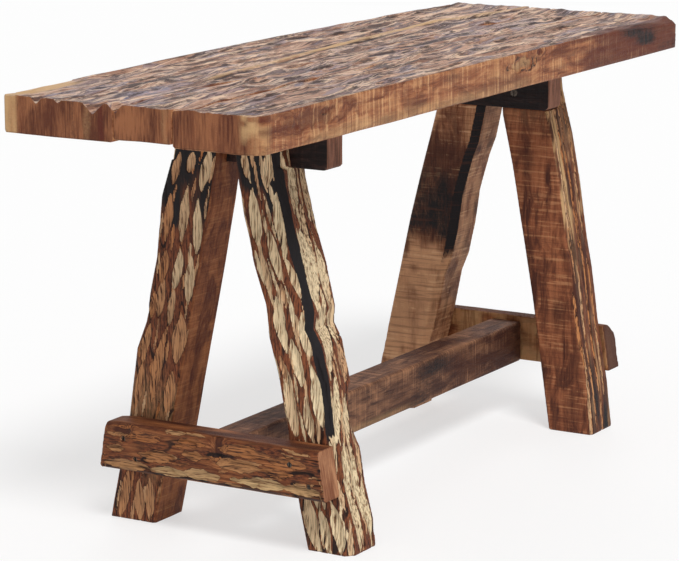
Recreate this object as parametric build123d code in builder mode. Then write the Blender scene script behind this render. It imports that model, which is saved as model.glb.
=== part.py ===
"""Rustic log bench: a hewn three-plank top on two A-shaped trestles joined by a stretcher.

Millimetres, +Z up. The origin is on the floor under the middle of the bench, +X runs along the
top and -Y is the front. Each piece is made where it stands and written to its own STEP file.
"""

import os
from math import isclose

from build123d import *

# ---------------------------------------------------------------- driving dimensions
# Top
top_length = 900
seat_height = 452
plank_thickness = 38
rear_plank_width = 125
middle_plank_width = 65
front_plank_width = 95
rear_edge_bow = 5  # the log's own swell, greatest at mid length
seam_bevel = 1.5  # eased arris on both sides of each seam
worn_corner_radius = 14  # front corner at the left end, rubbed round
end_corner_radius = 3  # the other three corners of the top
wane_length = 240  # where bark was left on the front edge, from the right end
wane_drop = 11
wane_inset = 13

# Trestles
left_overhang = 160  # from the end of the top to the outer face of the legs
right_overhang = 153
leg_depth = 53
left_front_leg_depth = 49  # its inner face stays a little behind the batten's
foot_spread = 284  # over both feet of a trestle
foot_shift = -3
left_apex_gap = 12  # between the two legs of a trestle, under the top
right_apex_gap = 5
left_apex_shift = -4
right_apex_shift = -17
charred_bevel = 8
leg_bevel = 2.5
# Width of each leg at the floor and under the top
left_rear_foot_width = 55
left_rear_head_width = 48
left_front_foot_width = 51
left_front_head_width = 48
right_rear_foot_width = 52
right_rear_head_width = 56
right_front_foot_width = 55.5
right_front_head_width = 54

# Battens, let into the inner faces of the legs
batten_thickness = 30
left_batten_height = 43
right_batten_height = 52
left_batten_front = -104
right_batten_front = -84
batten_rear = 58
batten_bevel = 3

# Lower crossbars, planted on the outer faces of the legs
left_crossbar_bottom = 59
right_crossbar_bottom = 61
left_crossbar_height = 50
right_crossbar_height = 53.5
left_crossbar_thickness = 30
right_crossbar_thickness = 28
left_crossbar_front = -132  # at the lower edge
left_crossbar_rear = 129.5
right_crossbar_front = -139
right_crossbar_rear = 126
crossbar_end_slope = 8  # how far each end leans in over the height of the bar
left_crossbar_bevel = 4
right_crossbar_wane = 18  # rounded log side left on the upper outer edge

# Stretcher
stretcher_width = 39
stretcher_height = 46
stretcher_shift = -8
stretcher_bottom = 61
stretcher_bevel = 2
tenon_length = 12
tenon_width = 19
tenon_height = 27
tenon_clearance = 0.2
peg_diameter = 6
peg_past_tenon = 3
peg_end_gap = 1

# Dowels in the seams
dowel_diameter = 10
dowel_length = 50
dowel_spacing = 220
dowel_count = 4
dowel_end_gap = 1
fit_clearance = 0.1

# Screws
screw_shank = 4.5
screw_head = 8.4
screw_head_height = 2.6
trim_screw_shank = 4
trim_screw_head = 5.4  # narrow heads, hardly seen in the bark of the crossbars
trim_screw_head_height = 1.8
screw_slot_width = 1.2
screw_slot_depth = 1.1
screw_bite = 22  # length of thread in the second piece
seat_screw_recess = 3
seat_screw_edge_gap = 10
front_seat_screw_gap = 20
lap_screw_bite = 13
lap_screw_recess = 0.8
lap_screw_offset_y = 10
lap_screw_offset_z = 9
left_bar_screw_recess = 3
right_bar_screw_recess = 6  # deeper, under the rougher bark
bar_screw_edge_gap = 14  # from the lower edge of the bar to the lower screw
bar_screw_rise = 19  # from the lower screw to the upper one
bar_screw_offset_y = 9

# ---------------------------------------------------------------- derived places
half_length = top_length / 2
top_width = rear_plank_width + middle_plank_width + front_plank_width
front_edge = -(top_width + rear_edge_bow) / 2
front_seam = front_edge + front_plank_width
rear_seam = front_seam + middle_plank_width
rear_edge = rear_seam + rear_plank_width
underside = seat_height - plank_thickness
LEFT, RIGHT = -1, 1

leg_outer_x = {LEFT: half_length - left_overhang, RIGHT: half_length - right_overhang}
leg_inner_x = {end: leg_outer_x[end] - leg_depth for end in (LEFT, RIGHT)}
apex_gap = {LEFT: left_apex_gap, RIGHT: right_apex_gap}
apex_shift = {LEFT: left_apex_shift, RIGHT: right_apex_shift}
batten_height = {LEFT: left_batten_height, RIGHT: right_batten_height}
batten_front = {LEFT: left_batten_front, RIGHT: right_batten_front}
crossbar_bottom = {LEFT: left_crossbar_bottom, RIGHT: right_crossbar_bottom}
crossbar_height = {LEFT: left_crossbar_height, RIGHT: right_crossbar_height}
crossbar_thickness = {LEFT: left_crossbar_thickness, RIGHT: right_crossbar_thickness}
crossbar_front = {LEFT: left_crossbar_front, RIGHT: right_crossbar_front}
crossbar_rear = {LEFT: left_crossbar_rear, RIGHT: right_crossbar_rear}
bar_screw_recess = {LEFT: left_bar_screw_recess, RIGHT: right_bar_screw_recess}
END_NAME = {LEFT: "left", RIGHT: "right"}

FRONT, REAR = -1, 1
ROW_NAME = {FRONT: "front", REAR: "rear"}

# Shank, head and head height of a screw
PLAIN_SCREW = (screw_shank, screw_head, screw_head_height)
TRIM_SCREW = (trim_screw_shank, trim_screw_head, trim_screw_head_height)

# Legs whose left front arris was cut back wide and charred.
charred_legs = [(LEFT, FRONT), (RIGHT, REAR)]
# Width of each leg at the floor and under the top.
leg_width = {
    (LEFT, REAR): (left_rear_foot_width, left_rear_head_width),
    (LEFT, FRONT): (left_front_foot_width, left_front_head_width),
    (RIGHT, REAR): (right_rear_foot_width, right_rear_head_width),
    (RIGHT, FRONT): (right_front_foot_width, right_front_head_width),
}
# Hewn outer edge of a leg: (share of the height, swell outwards).
hewn_outline = {
    (LEFT, REAR): [(0.26, -1.5), (0.43, 3.2), (0.5, -2.4), (0.57, -0.7), (0.66, -1.2), (0.81, 5.2), (0.9, 1)],
    (LEFT, FRONT): [(0.06, 3), (0.15, 1), (0.42, 6), (0.49, 5), (0.53, -1), (0.57, 3.5), (0.67, 2.5),
                    (0.75, -1.5), (0.86, -3)],
    (RIGHT, REAR): [(0.15, 2.3), (0.36, 3.7), (0.55, 5.2), (0.66, 4.4), (0.8, 2.4)],
    (RIGHT, FRONT): [(0.12, 2.4), (0.3, 1.8), (0.44, 3.5), (0.52, 2.5), (0.68, 3.5), (0.8, 2.4), (0.92, -2)],
}
# Inner edge: the log's own uneven edge, nearly straight on the left rear and right front legs.
# Swell towards the rear, so that it widens a front leg and narrows a rear one.
inner_outline = {
    (LEFT, REAR): [(0.3, -1), (0.6, -2.7), (0.8, -2.4)],
    (LEFT, FRONT): [(0.1, 1), (0.4, -2), (0.5, 1.3), (0.58, -1.3), (0.67, 3.9), (0.78, 5.5), (0.87, 4.4)],
    (RIGHT, REAR): [(0.28, -1.5), (0.39, 0.5), (0.44, -3), (0.52, -2.5), (0.62, 1.5), (0.72, 0), (0.77, -3),
                    (0.85, -2)],
    (RIGHT, FRONT): [(0.36, -2.4), (0.6, -0.8), (0.72, 0), (0.85, 3.4)],
}


def leg_edges(end, row):
    """Y of the inner and outer edges of a leg, each at the floor and under the top."""
    foot_width, head_width = leg_width[end, row]
    foot_outer = foot_shift + row * foot_spread / 2
    head_inner = apex_shift[end] + row * apex_gap[end] / 2
    inner = (foot_outer - row * foot_width, head_inner)
    outer = (foot_outer, head_inner + row * head_width)
    return inner, outer


def leg_centre(end, row, height):
    """Y of the middle of a leg at a height above the floor."""
    inner, outer = leg_edges(end, row)
    share = height / underside
    foot = (inner[0] + outer[0]) / 2
    head = (inner[1] + outer[1]) / 2
    return foot + (head - foot) * share


def edge_points(foot, head, swells):
    """Points up one edge of a leg, from the floor to the underside of the top."""
    points = [(foot, 0)]
    points += [(foot + (head - foot) * share + swell, underside * share) for share, swell in swells]
    return points + [(head, underside)]


os.makedirs("parts", exist_ok=True)


def write(part, name):
    """Label a finished piece and write it to its own STEP file."""
    part.label = name
    export_step(part, f"parts/{name}.step")


# ---------------------------------------------------------------- fastener forms
def screw_form(kind, length, clearance=0.0, head_room=0.0):
    """Countersunk screw along +Z with the top of its head at the origin, or the hole it needs."""
    shank_diameter, head_diameter, head_height = kind
    shank = shank_diameter / 2 + clearance
    head = head_diameter / 2 + clearance
    rim = [(head, -head_room)] if head_room else []
    with BuildPart() as form:
        with BuildSketch(Plane.XZ):
            with BuildLine():
                Polyline((0, -head_room), *rim, (head, 0), (shank, head_height),
                         (shank, length - shank_diameter), (0, length + clearance), close=True)
            make_face()
        revolve(axis=Axis.Z)
        if not clearance:
            with Locations((0, 0, screw_slot_depth / 2)):
                Box(head_diameter, screw_slot_width, screw_slot_depth, mode=Mode.SUBTRACT)
    return form.part


def screw_group(kind, places, length):
    """One solid for each screw of a set."""
    with BuildPart() as group:
        with Locations(*places):
            add(screw_form(kind, length))
    return group.part


def place(x, y, z, direction):
    """Location whose +Z runs along a direction, for a screw that is driven that way."""
    return Plane(origin=(x, y, z), z_dir=direction).location


seat_screw_length = {
    end: batten_height[end] - seat_screw_recess + screw_bite for end in (LEFT, RIGHT)
}
lap_screw_length = batten_thickness - lap_screw_recess + lap_screw_bite
bar_screw_length = {
    end: crossbar_thickness[end] - bar_screw_recess[end] + screw_bite for end in (LEFT, RIGHT)
}


def seat_screw_places(end):
    """Screws driven up through a batten, one or two into each plank."""
    z = underside - batten_height[end] + seat_screw_recess
    x = end * (leg_inner_x[end] + batten_thickness / 2)
    front = batten_front[end] + seat_screw_edge_gap
    rows = [front, front + front_seat_screw_gap, apex_shift[end], batten_rear - seat_screw_edge_gap]
    return [place(x, y, z, (0, 0, 1)) for y in rows]


def lap_screw_places(end):
    """Two screws through the batten into the remaining half of each leg."""
    x = end * (leg_inner_x[end] + lap_screw_recess)
    z = underside - batten_height[end] / 2
    places = []
    for row in (FRONT, REAR):
        y = leg_centre(end, row, z)
        for step in (-1, 1):
            spot = (x, y + row * step * lap_screw_offset_y, z + step * lap_screw_offset_z)
            places.append(place(*spot, (end, 0, 0)))
    return places


def bar_screw_places(end):
    """Two screws through the crossbar into each leg, set diagonally."""
    x = end * (leg_outer_x[end] + crossbar_thickness[end] - bar_screw_recess[end])
    low = crossbar_bottom[end] + bar_screw_edge_gap
    places = []
    for row in (FRONT, REAR):
        for step, z in ((-1, low), (1, low + bar_screw_rise)):
            y = leg_centre(end, row, z) + step * bar_screw_offset_y
            places.append(place(x, y, z, (-end, 0, 0)))
    return places


def bore_for_screws(kind, places, length, head_room=0.0):
    """Drill the holes of a set of screws into the piece being made."""
    with Locations(*places):
        add(screw_form(kind, length, fit_clearance, head_room), mode=Mode.SUBTRACT)


# ---------------------------------------------------------------- top planks
dowel_z = underside + plank_thickness / 2
dowel_rows = [(i - (dowel_count - 1) / 2) * dowel_spacing for i in range(dowel_count)]


def dowel_rods(seam, radius, reach):
    """One rod for each dowel of a seam, reaching the same way into both planks."""
    with BuildPart() as rods:
        with BuildSketch(Plane.XZ.offset(-seam)):
            with Locations(*[(x, dowel_z) for x in dowel_rows]):
                Circle(radius)
        extrude(amount=reach, both=True)
    return rods.part


def bore_for_dowels(seam):
    """Drill the seam's dowel holes into the plank being made."""
    bore_radius = dowel_diameter / 2 + fit_clearance
    add(dowel_rods(seam, bore_radius, dowel_length / 2 + dowel_end_gap), mode=Mode.SUBTRACT)


def bore_for_seat_screws():
    """Drill the seat screws' holes into the plank being made."""
    for end in (LEFT, RIGHT):
        bore_for_screws(PLAIN_SCREW, seat_screw_places(end), seat_screw_length[end])


def ease_seams(part, *seams):
    """Bevel the long arrises that lie on the given seams."""
    long_edges = part.edges().filter_by(Axis.X)
    for seam in seams:
        chamfer([edge for edge in long_edges if isclose(edge.center().Y, seam)], seam_bevel)


with BuildPart() as plank_rear:
    with BuildSketch(Plane.XY.offset(underside)):
        with BuildLine():
            Polyline((half_length, rear_edge), (half_length, rear_seam), (-half_length, rear_seam),
                     (-half_length, rear_edge))
            ThreePointArc((-half_length, rear_edge), (0, rear_edge + rear_edge_bow),
                          (half_length, rear_edge))
        make_face()
    extrude(amount=plank_thickness)
    fillet(plank_rear.edges().filter_by(Axis.Z).group_by(Axis.Y)[-1], end_corner_radius)
    ease_seams(plank_rear, rear_seam)
    bore_for_dowels(rear_seam)
    bore_for_seat_screws()
write(plank_rear.part, "plank_rear")

with BuildPart() as plank_middle:
    with BuildSketch(Plane.XY.offset(underside)):
        with Locations((0, (front_seam + rear_seam) / 2)):
            Rectangle(top_length, middle_plank_width)
    extrude(amount=plank_thickness)
    ease_seams(plank_middle, front_seam, rear_seam)
    bore_for_dowels(front_seam)
    bore_for_dowels(rear_seam)
    bore_for_seat_screws()
write(plank_middle.part, "plank_middle")

wane_start = Vector(half_length - wane_length, front_edge, seat_height)
wane_fall = Vector(wane_length, 0, -wane_drop)
wane_inward = Vector(wane_length, wane_inset, 0)
wane_plane = Plane(origin=wane_start, x_dir=wane_fall, z_dir=wane_fall.cross(wane_inward))

with BuildPart() as plank_front:
    with BuildSketch(Plane.XY.offset(underside)):
        with Locations((0, (front_edge + front_seam) / 2)):
            Rectangle(top_length, front_plank_width)
    extrude(amount=plank_thickness)
    front_corners = plank_front.edges().filter_by(Axis.Z).group_by(Axis.Y)[0].sort_by(Axis.X)
    fillet(front_corners[0], worn_corner_radius)
    front_corners = plank_front.edges().filter_by(Axis.Z).group_by(Axis.Y)[0].sort_by(Axis.X)
    fillet(front_corners[-1], end_corner_radius)
    ease_seams(plank_front, front_seam)
    split(bisect_by=wane_plane, keep=Keep.BOTTOM)
    bore_for_dowels(front_seam)
    bore_for_seat_screws()
write(plank_front.part, "plank_front")

for seam, row in ((front_seam, FRONT), (rear_seam, REAR)):
    write(dowel_rods(seam, dowel_diameter / 2, dowel_length / 2), f"seam_dowels_{ROW_NAME[row]}")


# ---------------------------------------------------------------- trestles
def front_half(edges, end, row):
    """Those of a leg's long edges that lie on its front side."""
    return [e for e in edges if e.center().Y < leg_centre(end, row, e.center().Z)]


def is_upright(edge):
    """Whether an edge rises more than it runs sideways."""
    direction = edge.tangent_at(0.5)
    return abs(direction.Z) > abs(direction.Y) + abs(direction.X)


def make_leg(end, row):
    """One leg: hewn outline, lapped for the batten, flat at the floor and under the top."""
    inner, outer = leg_edges(end, row)
    inner_line = edge_points(*inner, inner_outline[end, row])
    outer_line = edge_points(*outer, [(share, row * swell) for share, swell in hewn_outline[end, row]])
    with BuildPart() as leg:
        with BuildSketch(Plane.YZ.offset(end * leg_outer_x[end])):
            with BuildLine():
                Polyline(*inner_line, *reversed(outer_line), close=True)
            make_face()
        extrude(amount=-end * (left_front_leg_depth if (end, row) == (LEFT, FRONT) else leg_depth))
        upright = leg.edges().filter_by(is_upright)
        charred = front_half(upright.group_by(Axis.X)[0], end, row)
        chamfer(charred, charred_bevel if (end, row) in charred_legs else leg_bevel)
        upright = leg.edges().filter_by(is_upright)
        left_edges = upright.group_by(Axis.X)[0]
        rear_left = [edge for edge in left_edges if edge not in front_half(left_edges, end, row)]
        chamfer([*rear_left, *upright.group_by(Axis.X)[-1]], leg_bevel)
        batten_x = end * (leg_inner_x[end] + batten_thickness / 2)
        with Locations((batten_x, 0, underside - batten_height[end] / 2)):
            Box(batten_thickness, top_width, batten_height[end], mode=Mode.SUBTRACT)
        bore_for_screws(PLAIN_SCREW, lap_screw_places(end), lap_screw_length)
        bore_for_screws(TRIM_SCREW, bar_screw_places(end), bar_screw_length[end])
    return leg.part


def make_batten(end):
    """Batten under the top, let into the inner faces of the legs."""
    low = underside - batten_height[end]
    front = batten_front[end]
    with BuildPart() as batten:
        with BuildSketch(Plane.YZ.offset(end * leg_inner_x[end])):
            with BuildLine():
                Polyline((front, underside), (front, low + batten_bevel), (front + batten_bevel, low),
                         (batten_rear - batten_bevel, low), (batten_rear, low + batten_bevel),
                         (batten_rear, underside), close=True)
            make_face()
        extrude(amount=end * batten_thickness)
        bore_for_screws(PLAIN_SCREW, seat_screw_places(end), seat_screw_length[end], seat_screw_recess)
        bore_for_screws(PLAIN_SCREW, lap_screw_places(end), lap_screw_length, lap_screw_recess)
    return batten.part


def stretcher_peg(end, radius, height):
    """Upright peg, or its hole, up through a crossbar and the stretcher's tenon."""
    with BuildPart() as peg:
        with BuildSketch(Plane.XY.offset(crossbar_bottom[end])):
            with Locations((end * (leg_outer_x[end] + tenon_length / 2), stretcher_shift)):
                Circle(radius)
        extrude(amount=height)
    return peg.part


section_centre = (stretcher_shift, stretcher_bottom + stretcher_height / 2)
peg_top = section_centre[1] + tenon_height / 2 + tenon_clearance + peg_past_tenon
peg_length = {end: peg_top - crossbar_bottom[end] for end in (LEFT, RIGHT)}


def bore_for_peg(end):
    """Drill the stretcher peg's hole into the piece being made."""
    hole = stretcher_peg(end, peg_diameter / 2 + fit_clearance, peg_length[end] + peg_end_gap)
    add(hole, mode=Mode.SUBTRACT)


def make_crossbar(end):
    """Lower crossbar on the outer faces of the legs, mortised for the stretcher."""
    low = crossbar_bottom[end]
    high = low + crossbar_height[end]
    front, rear = crossbar_front[end], crossbar_rear[end]
    with BuildPart() as bar:
        with BuildSketch(Plane.YZ.offset(end * leg_outer_x[end])):
            with BuildLine():
                Polyline((front, low), (rear, low), (rear - crossbar_end_slope, high),
                         (front + crossbar_end_slope, high), close=True)
            make_face()
        extrude(amount=end * crossbar_thickness[end])
        outer_edges = bar.edges().filter_by(Axis.Y).sort_by(Axis((0, 0, 0), (end, 0, 0)))[-2:]
        if end == LEFT:
            chamfer(outer_edges, left_crossbar_bevel)
        else:
            fillet(outer_edges.sort_by(Axis.Z)[-1], right_crossbar_wane)
        with BuildSketch(Plane.YZ.offset(end * leg_outer_x[end])):
            with Locations(section_centre):
                Rectangle(tenon_width + 2 * tenon_clearance, tenon_height + 2 * tenon_clearance)
        extrude(amount=end * (tenon_length + tenon_clearance), mode=Mode.SUBTRACT)
        bore_for_peg(end)
        bore_for_screws(TRIM_SCREW, bar_screw_places(end), bar_screw_length[end], crossbar_thickness[end])
    return bar.part


for end in (LEFT, RIGHT):
    side = END_NAME[end]
    for row in (FRONT, REAR):
        write(make_leg(end, row), f"leg_{side}_{ROW_NAME[row]}")
    write(make_batten(end), f"batten_{side}")
    write(make_crossbar(end), f"crossbar_{side}")
    seat_screws = screw_group(PLAIN_SCREW, seat_screw_places(end), seat_screw_length[end])
    lap_screws = screw_group(PLAIN_SCREW, lap_screw_places(end), lap_screw_length)
    bar_screws = screw_group(TRIM_SCREW, bar_screw_places(end), bar_screw_length[end])
    write(seat_screws, f"seat_screws_{side}")
    write(lap_screws, f"lap_screws_{side}")
    write(bar_screws, f"crossbar_screws_{side}")
    write(stretcher_peg(end, peg_diameter / 2, peg_length[end]), f"stretcher_peg_{side}")

# ---------------------------------------------------------------- stretcher
stretcher_length = leg_outer_x[LEFT] + leg_outer_x[RIGHT]
with BuildPart() as stretcher:
    with BuildSketch(Plane.YZ.offset(-leg_outer_x[LEFT])):
        with Locations(section_centre):
            Rectangle(stretcher_width, stretcher_height)
    extrude(amount=stretcher_length)
    chamfer(stretcher.edges().filter_by(Axis.X), stretcher_bevel)
    with BuildSketch(Plane.YZ.offset(-leg_outer_x[LEFT] - tenon_length)):
        with Locations(section_centre):
            Rectangle(tenon_width, tenon_height)
    extrude(amount=stretcher_length + 2 * tenon_length)
    for end in (LEFT, RIGHT):
        bore_for_peg(end)
write(stretcher.part, "stretcher")
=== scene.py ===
"""Rustic log bench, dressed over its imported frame.

Each timber is the frame's own solid, meshed again fine enough to take real gouge strokes, then
hewn, notched and stained along its own grain. Lengths are in millimetres while a timber is being
worked and become metres when its mesh is written. Colours are written as 0 to 255.
"""

import logging
import math
from dataclasses import dataclass
from enum import Enum
from functools import partial, reduce
from typing import Iterable, Sequence

import bpy
import numpy as np
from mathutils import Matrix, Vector


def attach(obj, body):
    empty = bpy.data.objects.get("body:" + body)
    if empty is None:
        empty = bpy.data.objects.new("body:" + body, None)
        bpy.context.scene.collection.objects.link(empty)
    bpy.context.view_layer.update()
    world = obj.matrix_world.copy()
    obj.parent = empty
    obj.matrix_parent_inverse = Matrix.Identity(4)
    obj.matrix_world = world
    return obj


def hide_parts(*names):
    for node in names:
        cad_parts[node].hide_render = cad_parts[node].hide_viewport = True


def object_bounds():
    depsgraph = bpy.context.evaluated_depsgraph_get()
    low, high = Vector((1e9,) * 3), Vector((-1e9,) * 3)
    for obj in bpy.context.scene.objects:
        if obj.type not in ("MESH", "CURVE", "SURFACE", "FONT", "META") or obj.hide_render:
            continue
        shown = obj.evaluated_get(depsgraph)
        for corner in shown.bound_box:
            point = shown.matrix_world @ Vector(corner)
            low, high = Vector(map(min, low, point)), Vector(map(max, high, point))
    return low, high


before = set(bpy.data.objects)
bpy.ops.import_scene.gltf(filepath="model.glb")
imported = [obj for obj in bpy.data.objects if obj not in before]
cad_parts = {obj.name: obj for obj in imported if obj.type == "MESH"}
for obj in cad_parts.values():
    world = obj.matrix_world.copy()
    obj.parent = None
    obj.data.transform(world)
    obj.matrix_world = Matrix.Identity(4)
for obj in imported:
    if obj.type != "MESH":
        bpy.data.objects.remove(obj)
CAD_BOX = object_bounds()

LOG = logging.getLogger("bench")
ROOT = "root"
GRAIN = "grain"  # mesh attribute with the place along the fibres, then across them twice
MM = 0.001
HALF_LENGTH = CAD_BOX[1][0] / MM
FRONT_EDGE, REAR_EDGE = (corner[1] / MM for corner in CAD_BOX)

Field = np.ndarray
Colour = tuple[float, float, float]
Span = tuple[float, float]
Socket = bpy.types.NodeSocket
Value = Socket | float | tuple[float, ...]


def ease(low: float, high: float, value: Field) -> Field:
    """Smooth step over some values: 0 at low, 1 at high, and level beyond them."""
    share = np.clip((value - low) / (high - low), 0.0, 1.0)
    return share * share * (3.0 - 2.0 * share)


def bell(middle: float, width: float, value: Field) -> Field:
    """Round hump over some values, 1 at its middle and 0.37 one width away."""
    return np.exp(-((value - middle) / width) ** 2)


def pigment(colour: Colour) -> tuple[float, float, float, float]:
    """Linear colour with full alpha, by the sRGB curve.

    Args:
        colour: Red, green and blue from 0 to 255, as they look on a screen.

    Returns:
        The colour that a node socket takes.
    """
    red, green, blue = (
        c / 255 / 12.92 if c / 255 <= 0.04045 else ((c / 255 + 0.055) / 1.055) ** 2.4 for c in colour
    )
    return red, green, blue, 1.0


def new_object(name: str, data: bpy.types.ID) -> bpy.types.Object:
    """Put a new object into the scene.

    Args:
        name: Its name.
        data: Its mesh, light or camera.

    Returns:
        The object.
    """
    thing = bpy.data.objects.new(name, data)
    bpy.context.scene.collection.objects.link(thing)
    return thing


class Face(Enum):
    """A side of a timber: the axis that it faces, and which way."""

    LEFT = (0, -1)
    RIGHT = (0, 1)
    FRONT = (1, -1)
    REAR = (1, 1)
    BOTTOM = (2, -1)
    TOP = (2, 1)

    @property
    def axis(self) -> int:
        """Axis that the side faces along."""
        return self.value[0]

    @property
    def sign(self) -> int:
        """Direction that the side faces along its axis."""
        return self.value[1]


class Grain(Enum):
    """Axis that the fibres of a timber run along."""

    LENGTHWISE = 0
    CROSSWISE = 1
    UPRIGHT = 2


class Stain(Enum):
    """What is painted on a timber's mesh for its finish to read."""

    CUT = "cut"  # 0 outside a gouge stroke, 1 at its deepest
    FRESH = "fresh"  # 1 for pale wood in a stroke, 0 for orange wood
    TONE = "tone"  # one value for each scoop of the hewn seat, raised towards blue-grey painted sheen where a scoop wall faces the rear
    HEWN = "hewn"  # hewn seat face
    SAP = "sap"  # lighter sapwood and rubbed ridges, with painted highlight on the crests of the seat and painted light on the shaded inner face of the right crossbar
    DEEP = "deep"  # dark red heartwood and knots
    CREASE = "crease"  # thin dark cracks and valleys, and painted shade on the scoop walls of the seat and in its groove
    CHAR = "char"  # burnt skin
    HIDE = "hide"  # dark old skin of the log
    SAWN = "sawn"  # saw lines across the fibres
    END = "end"  # end grain


class WoodNoise:
    """Seeded smooth noise in space, for swells, ragged borders and stains."""

    CELLS = 32

    def __init__(self, seed: int) -> None:
        """Fill the lattice; the same seed gives the same wood."""
        self.lattice: Field = np.random.default_rng(seed).uniform(-1.0, 1.0, (self.CELLS,) * 3)

    def at(self, points: Field, cell: Sequence[float]) -> Field:
        """Noise at some points.

        Args:
            points: One row of three coordinates for each point.
            cell: Size of one swell along each axis.

        Returns:
            A value from -1 to 1 for each point.
        """
        grid = points / np.asarray(cell, float)
        corner = np.floor(grid).astype(int)
        share = grid - corner
        share = share * share * (3.0 - 2.0 * share)
        total = np.zeros(len(points))
        for step in np.ndindex(2, 2, 2):
            weight = np.prod(np.where(np.array(step) == 1, share, 1.0 - share), axis=1)
            i, j, k = ((corner + step) % self.CELLS).T
            total += weight * self.lattice[i, j, k]
        return total


# ------------------------------------------------------------------------------ finishes
class Recipe:
    """Wires the nodes of one material."""

    NOISE_ROUGHNESS = 0.62

    def __init__(self, name: str) -> None:
        """Start a material with its shader.

        Args:
            name: Name of the material.
        """
        self.material = bpy.data.materials.new(name)
        self.material.use_nodes = True
        self.tree = self.material.node_tree
        self.shader = self.tree.nodes["Principled BSDF"]

    def feed(self, node: bpy.types.Node, inputs: dict[int | str, Value]) -> None:
        """Link or set some inputs of a node.

        Args:
            node: The node.
            inputs: A socket to link or a value to set, by the input's name or number.
        """
        for key, value in inputs.items():
            if isinstance(value, Socket):
                self.tree.links.new(value, node.inputs[key])
            else:
                node.inputs[key].default_value = value

    def node(self, kind: str, inputs: dict[int | str, Value], **settings: str) -> bpy.types.Node:
        """Add a node.

        Args:
            kind: Its type, without the prefix that all shader nodes share.
            inputs: What its inputs take.
            settings: Its other settings.

        Returns:
            The new node.
        """
        node = self.tree.nodes.new(f"ShaderNode{kind}")
        for name, choice in settings.items():
            setattr(node, name, choice)
        self.feed(node, inputs)
        return node

    def stain(self, stain: Stain) -> Socket:
        """Socket that reads a stain from the mesh."""
        return self.node("Attribute", {}, attribute_name=stain.value).outputs["Fac"]

    def maths(self, operation: str, *values: Socket | float) -> Socket:
        """Socket with the result of an operation on some values."""
        return self.node("Math", dict(enumerate(values)), operation=operation).outputs[0]

    def times(self, *values: Socket | float) -> Socket:
        """Socket with the product of some values."""
        return reduce(partial(self.maths, "MULTIPLY"), values)

    def plus(self, *values: Socket | float) -> Socket:
        """Socket with the sum of some values."""
        return reduce(partial(self.maths, "ADD"), values)

    def away(self, value: Socket, level: float) -> Socket:
        """Socket with the distance of a value from a level."""
        return self.maths("ABSOLUTE", self.maths("SUBTRACT", value, level))

    def noise(self, place: Socket, stretch: Sequence[float], detail: float, warp: float = 0.0) -> Socket:
        """Stretched noise.

        Args:
            place: Socket with the coordinates.
            stretch: Swells in one unit along each coordinate.
            detail: How many finer layers are added.
            warp: How far the noise bends itself.

        Returns:
            Socket with a value round 0.5.
        """
        scaled = self.node("VectorMath", {0: place, 1: stretch}, operation="MULTIPLY").outputs[0]
        return self.node("TexNoise", {
            "Vector": scaled, "Scale": 1.0, "Detail": detail, "Roughness": self.NOISE_ROUGHNESS,
            "Distortion": warp}).outputs["Fac"]

    def step(self, value: Socket, low: float, high: float) -> Socket:
        """Socket with a smooth share: 0 where a value is at low, 1 where it is at high."""
        inputs = {"Value": value, "From Min": low, "From Max": high}
        return self.node("MapRange", inputs, interpolation_type="SMOOTHSTEP").outputs["Result"]

    def ramp(self, value: Socket, *stops: tuple[float, Colour]) -> Socket:
        """Colours along a value.

        Args:
            value: Socket to read.
            stops: Place and colour of each stop, in order.

        Returns:
            Socket with the colour.
        """
        node = self.node("ValToRGB", {"Fac": value})
        elements = node.color_ramp.elements
        while len(elements) < len(stops):
            elements.new(1.0)
        for element, (position, colour) in zip(elements, stops):
            element.position = position
            element.color = pigment(colour)
        return node.outputs["Color"]

    def mix(self, under: Socket, over: Socket | Colour, share: Socket) -> Socket:
        """Socket with one colour over another, as far as a share says."""
        colour = pigment(over) if isinstance(over, tuple) else over
        return self.node("Mix", {0: share, 6: under, 7: colour}, data_type="RGBA").outputs[2]

    def bump(self, height: Socket, strength: float, distance: float) -> None:
        """Roughen the surface by a height; the distance is that of one unit, in mm."""
        node = self.node("Bump", {"Height": height, "Strength": strength, "Distance": distance * MM})
        self.feed(self.shader, {"Normal": node.outputs["Normal"]})


@dataclass(frozen=True)
class TimberFinish:
    """Oiled log wood: fibres, saw lines, pale strokes, heartwood and burnt skin."""

    name: str
    shade: Colour
    body: Colour
    light: Colour
    sap: Colour = (206, 166, 118)
    deep: Colour = (64, 30, 21)
    crease: Colour = (27, 17, 16)
    warm: Colour = (190, 124, 74)
    cut: Colour = (240, 218, 178)
    fleck: Colour = (150, 108, 72)
    char: Colour = (30, 26, 28)
    hide: Colour = (84, 42, 27)
    hide_light: Colour = (132, 76, 46)
    end_shade: Colour = (82, 42, 24)
    end_light: Colour = (146, 90, 54)
    # tones of the scoops of the seat; the grey-violet and blue-grey stops from 0.68 up are painted sheen
    scoop_tones_and_sheen: tuple[tuple[float, Colour], ...] = (
        (0.22, (70, 46, 42)), (0.36, (152, 108, 86)), (0.5, (202, 162, 138)), (0.58, (108, 88, 90)),
        (0.68, (184, 156, 152)), (0.78, (106, 110, 134)), (0.88, (62, 70, 98)))
    kerf: Colour = (196, 146, 100)
    kerf_pitch: float = 0.16
    kerf_strength: float = 0.7
    roughness: float = 0.62
    gloss: float = 0.25

    def material(self) -> bpy.types.Material:
        """Material that reads the stains and the grain from the mesh."""
        return WoodRecipe(self).material


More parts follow.
